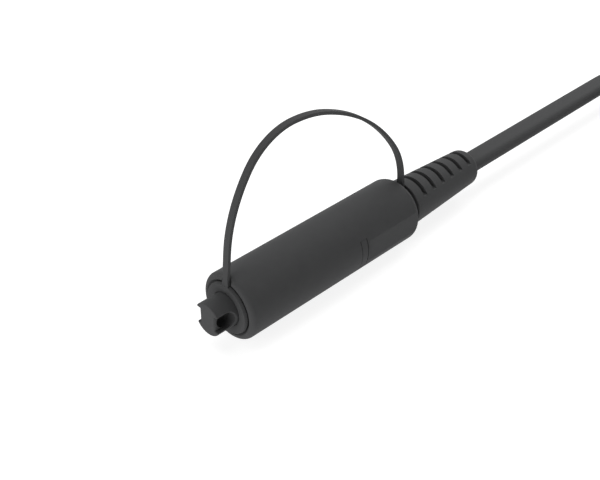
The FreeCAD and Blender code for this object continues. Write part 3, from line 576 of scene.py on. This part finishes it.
def makeTies():
    # Rounded loops carried across the band; axes at angle a, clockwise from +Y:
    # out = (sin a, cos a, 0), side = (-cos a, sin a, 0), up = (0, 0, 1)
    t, c, outer = tieSet, cableSet, coilOuter()
    rings = int(c["coilTurns"])
    half = np.array(((rings - 1) * c["turnPitch"] + c["height"] + 2 * t["slack"], c["width"])) / 2
    outside = roundedLoop(squareCorners * (half + t["thickness"]), t["corner"], t["cornerSteps"])
    inside = roundedLoop(squareCorners * half, t["corner"] - t["thickness"], t["cornerSteps"])
    loops = np.stack([outside, outside, inside, inside])
    across = t["width"] / 2 * np.array((1, -1, -1, 1))[:, None, None]
    parts = []
    for degrees in t["angles"]:
        a = math.radians(degrees)
        out, side, up = np.array([(math.sin(a), math.cos(a), 0), (-math.cos(a), math.sin(a), 0), (0, 0, 1)])
        radius = outer - c["turnPitch"] * (degrees / 360 + (rings - 1) / 2)
        middle = np.array((c["coilStart"], -outer, c["coilDrop"])) + radius * out
        band = middle + loops[..., :1] * out + across * side + loops[..., 1:] * up
        parts.append((band.reshape(-1, 3), gridFaces(len(loops), len(outside), closedRows=True)))
        wall = middle + (half[0] + t["thickness"]) * out
        for block in t["blocks"]:
            centre = wall + block["out"] * out + block["up"] * up
            ends = centre + np.outer((-0.5, 0.5), block["side"] * side)
            section = roundedLoop(squareCorners * block["size"] / 2, block["edge"], t["blockSteps"])
            parts.append(sweptBar(ends, np.tile(out, (2, 1)), np.tile(-up, (2, 1)), section))
    ties = meshPiece("tie_bands", parts, "tiePlastic", "plug")
    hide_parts("coil_ties")
    return ties


def makeCable():
    # Stadium section carried along the path; its roll goes from flat to on edge between two lengths
    c = cableSet
    path = splinePath("cable_line", cableRoute())
    tangent = unit(np.gradient(path, axis=0))
    along = lengthAlong(path)
    side = unit(np.cross((0.0, 0.0, 1.0), tangent))
    rise = np.cross(tangent, side)
    roll = (smoothStep(along, *c["twist"]) * math.pi / 2)[:, None]
    wide = np.cos(roll) * side + np.sin(roll) * rise
    thin = np.cos(roll) * rise - np.sin(roll) * side
    jacket = sweptBar(path, wide, thin, stadiumLoop(c["width"], c["height"], c["sides"]))
    cable = meshPiece("drop_cable", [jacket], "cableJacket", "plug")
    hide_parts("cable_run", "cable_coil")
    end, way, across = path[-1], tangent[-1], wide[-1] * c["rodOffset"]
    rods = [roundRod(end + k * across, way, c["rodRadius"], c["rodReach"]) for k in (-1, 1)]
    rodEnds = meshPiece("rod_ends", rods, "rodResin", "plug")
    fibre = [roundRod(end, way, c["fibreRadius"], c["fibreReach"])]
    fibreEnd = meshPiece("fibre_end", fibre, "fibreCoat", "plug")
    print("stage: cable made, length", round(float(along[-1]), 4))
    makeTies()


makeCable()

# Studio: pale table that glows softly, plain world, three large soft lamps round the part
studioSet = {
    "floorLevel": -0.01025,
    "floorSize": 3.0,
    "floorColor": (0.30, 0.30, 0.30, 1),
    "floorGlow": 1.36,  # as it lights the part
    "floorSeen": 0.86,  # as the camera and gloss see it
    "worldStrength": 0.16,
    "worldSeen": 1.0,
    # Each lamp: name, place, size across, power
    "lamps": [
        ("lampBack", (-0.12, 0.24, 0.78), 0.7, 3.3),
        ("lampRight", (0.62, 0.15, 0.60), 0.7, 6.3),
        ("lampFront", (-0.77, 0.08, 0.29), 0.7, 3.2),
    ],
    "aim": (0.05, 0.0, 0.0),
}


def seenRays(tree):
    # One for rays of the camera, of gloss and of glass, else zero
    rays = tree.nodes.new("ShaderNodeLightPath")
    kinds = [rays.outputs[k] for k in ("Is Camera Ray", "Is Glossy Ray", "Is Transmission Ray")]
    total = kinds[0]
    for kind in kinds[1:]:
        larger = tree.nodes.new("ShaderNodeMath")
        larger.operation = "MAXIMUM"
        tree.links.new(total, larger.inputs[0])
        tree.links.new(kind, larger.inputs[1])
        total = larger.outputs[0]
    return total


def makeWorld():
    s = studioSet
    world = bpy.data.worlds.new("studio")
    world.use_nodes = True
    tree = world.node_tree
    tree.nodes.clear()
    output = tree.nodes.new("ShaderNodeOutputWorld")
    soft = tree.nodes.new("ShaderNodeBackground")
    soft.inputs["Strength"].default_value = s["worldStrength"]
    white = tree.nodes.new("ShaderNodeBackground")
    white.inputs["Color"].default_value = (1, 1, 1, 1)
    white.inputs["Strength"].default_value = s["worldSeen"]
    mix = tree.nodes.new("ShaderNodeMixShader")
    tree.links.new(seenRays(tree), mix.inputs["Fac"])
    tree.links.new(soft.outputs["Background"], mix.inputs[1])
    tree.links.new(white.outputs["Background"], mix.inputs[2])
    tree.links.new(mix.outputs["Shader"], output.inputs["Surface"])
    bpy.context.scene.world = world


def makeFloor():
    # Square at the floor's level
    s = studioSet
    corners = np.insert(s["floorSize"] / 2 * squareCorners, 2, s["floorLevel"], axis=1)
    data = bpy.data.meshes.new("floor")
    data.from_pydata(corners.tolist(), [], [(0, 1, 2, 3)])
    floor = bpy.data.objects.new("floor", data)
    bpy.context.scene.collection.objects.link(floor)
    material = bpy.data.materials.new("paleFloor")
    material.use_nodes = True
    tree = material.node_tree
    tree.nodes.clear()
    output = tree.nodes.new("ShaderNodeOutputMaterial")
    matt = tree.nodes.new("ShaderNodeBsdfDiffuse")
    matt.inputs["Color"].default_value = s["floorColor"]
    glow = tree.nodes.new("ShaderNodeEmission")
    tree.links.new(spread(tree, seenRays(tree), s["floorGlow"], s["floorSeen"]), glow.inputs["Strength"])
    both = tree.nodes.new("ShaderNodeAddShader")
    tree.links.new(matt.outputs["BSDF"], both.inputs[0])
    tree.links.new(glow.outputs["Emission"], both.inputs[1])
    tree.links.new(both.outputs["Shader"], output.inputs["Surface"])
    data.materials.append(material)


def makeLamps():
    for name, place, size, power in studioSet["lamps"]:
        lampData = bpy.data.lights.new(name, "AREA")
        lampData.shape = "DISK"
        lampData.size = size
        lampData.energy = power
        lamp = bpy.data.objects.new(name, lampData)
        lamp.location = place
        aim = Vector(studioSet["aim"]) - Vector(place)
        lamp.rotation_euler = aim.to_track_quat("-Z", "Y").to_euler()
        bpy.context.scene.collection.objects.link(lamp)


makeWorld()
makeFloor()
makeLamps()
print("stage: studio lit")
